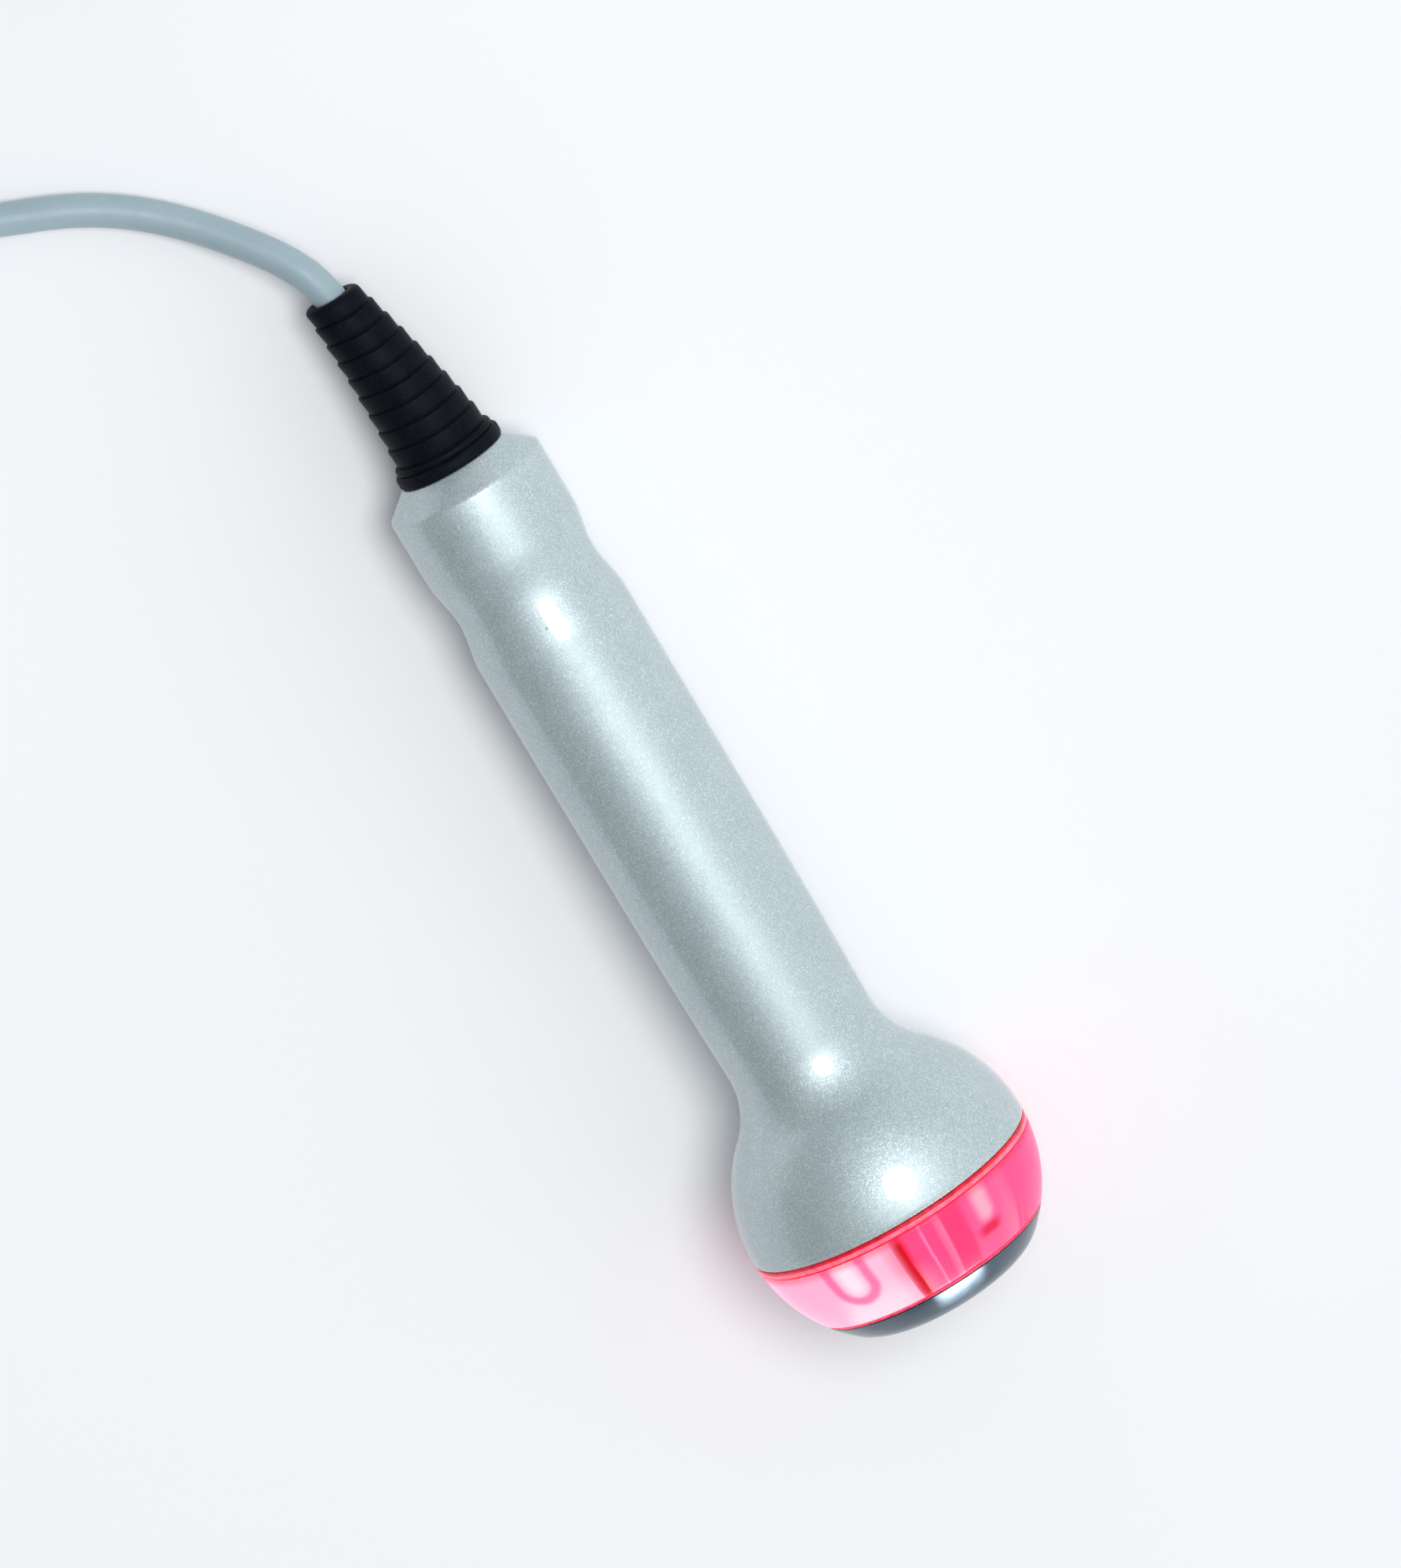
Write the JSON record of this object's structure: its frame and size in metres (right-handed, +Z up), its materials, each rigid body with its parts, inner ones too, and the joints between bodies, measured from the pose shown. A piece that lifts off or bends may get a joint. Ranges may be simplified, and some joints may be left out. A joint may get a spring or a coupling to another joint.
{
  "type": "ultrasound therapy applicator",
  "caption": "Hand-held ultrasound therapy applicator: round metal treatment head, lit indicator ring, slim handle, stepped bend relief, coiled lead and push-pull connector.",
  "frame": {"origin": "centre of the handpiece's footprint on the surface that it lies on, measured without the lead", "axes": "+X along the handpiece towards the treatment face, +Z up; the handpiece's own axis climbs about 5 degrees towards the head"},
  "size_m": [0.353, 0.1, 0.0508],
  "materials": {
    "silver_paint": "fine silver pearl under a clear gloss coat",
    "polished_head": "polished, lightly handled",
    "lit_ring": "translucent, lit pink from inside",
    "red_seal": "satin",
    "black_rubber": "satin",
    "lead_jacket": "matte",
    "black_plastic": "matte",
    "insulator": "matte",
    "circuit_board": "solder mask",
    "crystal": "matte",
    "brass": "machined",
    "copper": "enamelled wire",
    "ferrite": "matte",
    "steel": "satin",
    "lamp_lens": "clear",
    "chrome": "satin chrome",
    "gold": "gold plated"
  },
  "bodies": {
    "handpiece": {"handle_shell": "silver_paint", "treatment_head": "polished_head", "indicator_ring": "lit_ring", "ring_seal": "red_seal", "face_gasket": "red_seal", "strain_relief": "black_rubber", "cord_tie_1": "black_rubber", "cord_tie_2": "black_rubber", "connector_boot": "black_rubber", "lead_inside": "lead_jacket", "cord_free": "lead_jacket", "cord_coil": "lead_jacket", "cord_tail": "lead_jacket", "connector_lead": "lead_jacket", "clamp_lower": "black_plastic", "clamp_upper": "black_plastic", "chassis": "black_plastic", "rear_plug": "black_plastic", "head_flange": "black_plastic", "memory_chip": "black_plastic", "led_driver_chip": "black_plastic", "transducer_wire": "black_plastic", "led_wire": "black_plastic", "pin_block": "black_plastic", "crystal_ring": "insulator", "contact_carrier": "insulator", "lead_header": "insulator", "led_header": "insulator", "tuning_capacitor": "insulator", "driver_board": "circuit_board", "led_board": "circuit_board", "piezo_disc": "crystal", "contact_disc": "brass", "lock_nut": "brass", "matching_coil_winding": "copper", "matching_coil_core": "ferrite", "clamp_screw_1": "steel", "clamp_screw_2": "steel", "board_screw_1": "steel", "board_screw_2": "steel", "chassis_screw_1": "steel", "chassis_screw_2": "steel", "contact_spring": "steel", "latch_spring": "steel", "led_1": "lamp_lens", "led_2": "lamp_lens", "led_3": "lamp_lens", "led_4": "lamp_lens", "led_5": "lamp_lens", "led_6": "lamp_lens", "collet_nut": "chrome", "connector_body": "chrome", "contact_pin_1": "gold", "contact_pin_2": "gold", "contact_pin_3": "gold", "contact_pin_4": "gold", "contact_pin_5": "gold", "contact_pin_6": "gold"},
    "latch_sleeve": {"latch_sleeve": "chrome"}
  },
  "joints": [
    {"name": "latch_sleeve_slide", "type": "slide", "parent": "handpiece", "child": "latch_sleeve", "axis": [-0.9063, -0.4226, 0], "range_m": [0, 0.002], "stiffness_N_per_m": 800, "springref_m": -0.002, "deforming": ["latch_spring"]}
  ]
}
